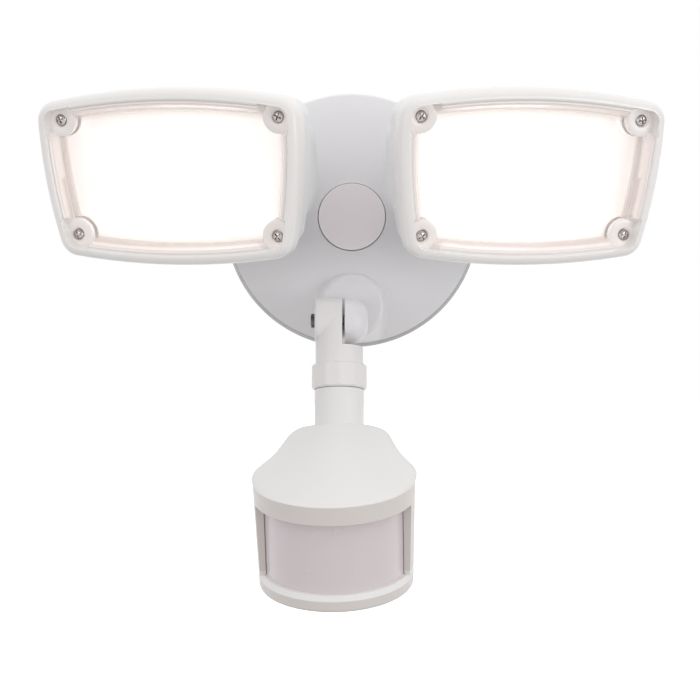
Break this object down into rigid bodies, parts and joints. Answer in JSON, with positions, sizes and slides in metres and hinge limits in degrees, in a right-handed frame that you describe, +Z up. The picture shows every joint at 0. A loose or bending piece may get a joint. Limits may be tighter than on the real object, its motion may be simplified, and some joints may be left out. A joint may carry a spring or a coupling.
{
  "type": "motion sensor security light",
  "caption": "Wall-mounted outdoor security light: round canopy with two aimable flat lamp heads above and a motion sensor on a tilting, turning arm below.",
  "frame": {"origin": "middle of the round canopy on the wall plane", "axes": "+Y into the wall, -Y the way the light looks, +Z up, +X to the right seen from the front"},
  "size_m": [0.2898, 0.1083, 0.2474],
  "materials": {
    "canopy_paint": "smooth white enamel",
    "housing_paint": "smooth white enamel",
    "sensor_plastic": "smooth moulded white",
    "arm_plastic": "smooth moulded white",
    "plug_plastic": "slightly greyer moulded white",
    "clear_cover": "clear polycarbonate, faintly warm",
    "detector_lens": "milky polyethylene, fine vertical facets",
    "reflector_white": "bright white reflector",
    "lit_chip": "light source, lit",
    "board_white": "white solder mask",
    "board_green": "green solder mask",
    "bright_screw": "nickel plated",
    "zinc_steel": "zinc plated",
    "foam_gasket": "closed-cell foam",
    "seal_rubber": "silicone",
    "green_screw": "green ground screw",
    "module_case": "potted power module",
    "bare_aluminium": "extruded",
    "detector_can": "metal can",
    "cell_clear": "clear epoxy light cell",
    "trimmer_blue": "trimmer case",
    "knob_plastic": "grey knob",
    "dark_bolt": "black oxide"
  },
  "bodies": {
    "root": {"canopy": "canopy_paint", "canopy_gasket": "foam_gasket", "center_plug": "plug_plastic", "mounting_strap": "zinc_steel", "mounting_bolt": "zinc_steel", "ground_screw": "green_screw", "driver_module": "module_case", "arm_pivot_bolt": "dark_bolt"},
    "sensor_arm": {"sensor_arm": "arm_plastic", "arm_collar": "arm_plastic"},
    "sensor": {"sensor_housing": "sensor_plastic", "sensor_base": "sensor_plastic", "pir_lens": "detector_lens", "sensor_board": "board_green", "pir_element": "detector_can", "photocell": "cell_clear", "trimmers": "trimmer_blue", "base_screws": "bright_screw"},
    "time_knob": {"time_knob": "knob_plastic"},
    "range_knob": {"range_knob": "knob_plastic"},
    "left_stem": {"left_stem": "housing_paint", "left_lock_nut": "zinc_steel"},
    "left_lamp": {"left_housing": "housing_paint", "left_lens_cover": "clear_cover", "left_lens_gasket": "seal_rubber", "left_reflector": "reflector_white", "left_led_board": "board_white", "left_led_chips": "lit_chip", "left_heat_sink": "bare_aluminium", "left_lens_screws": "bright_screw", "left_pivot_bolt": "dark_bolt"},
    "right_stem": {"right_stem": "housing_paint", "right_lock_nut": "zinc_steel"},
    "right_lamp": {"right_housing": "housing_paint", "right_lens_cover": "clear_cover", "right_lens_gasket": "seal_rubber", "right_reflector": "reflector_white", "right_led_board": "board_white", "right_led_chips": "lit_chip", "right_heat_sink": "bare_aluminium", "right_lens_screws": "bright_screw", "right_pivot_bolt": "dark_bolt"}
  },
  "joints": [
    {"name": "left_stem_swivel", "type": "hinge", "parent": "root", "child": "left_stem", "pos_m": [-0.06477, -0.02711, 0.02699], "axis": [0.8577, 0.486, 0.1675], "range_deg": [-25, 25]},
    {"name": "left_lamp_tilt", "type": "hinge", "parent": "left_stem", "child": "left_lamp", "pos_m": [-0.06477, -0.02711, 0.02699], "axis": [0.0508, 0.2441, -0.9684], "range_deg": [-20, 25]},
    {"name": "right_stem_swivel", "type": "hinge", "parent": "root", "child": "right_stem", "pos_m": [0.06477, -0.02711, 0.02699], "axis": [0.8577, -0.486, -0.1675], "range_deg": [-25, 25]},
    {"name": "right_lamp_tilt", "type": "hinge", "parent": "right_stem", "child": "right_lamp", "pos_m": [0.06477, -0.02711, 0.02699], "axis": [0.0508, -0.2441, 0.9684], "range_deg": [-20, 25]},
    {"name": "arm_tilt", "type": "hinge", "parent": "root", "child": "sensor_arm", "pos_m": [-0.006, -0.038, -0.0511], "axis": [-1, 0, 0], "range_deg": [-3, 60]},
    {"name": "sensor_swivel", "type": "hinge", "parent": "sensor_arm", "child": "sensor", "pos_m": [-0.006, -0.04744, -0.10153], "axis": [0, 0.184, 0.9829], "range_deg": [-85, 85]},
    {"name": "time_knob_turn", "type": "hinge", "parent": "sensor", "child": "time_knob", "pos_m": [-0.01943, -0.04993, -0.17594], "axis": [0.0226, 0.2582, -0.9658], "range_deg": [-135, 135]},
    {"name": "range_knob_turn", "type": "hinge", "parent": "sensor", "child": "range_knob", "pos_m": [0.00454, -0.05117, -0.17571], "axis": [0.0226, 0.2582, -0.9658], "range_deg": [-135, 135]}
  ]
}
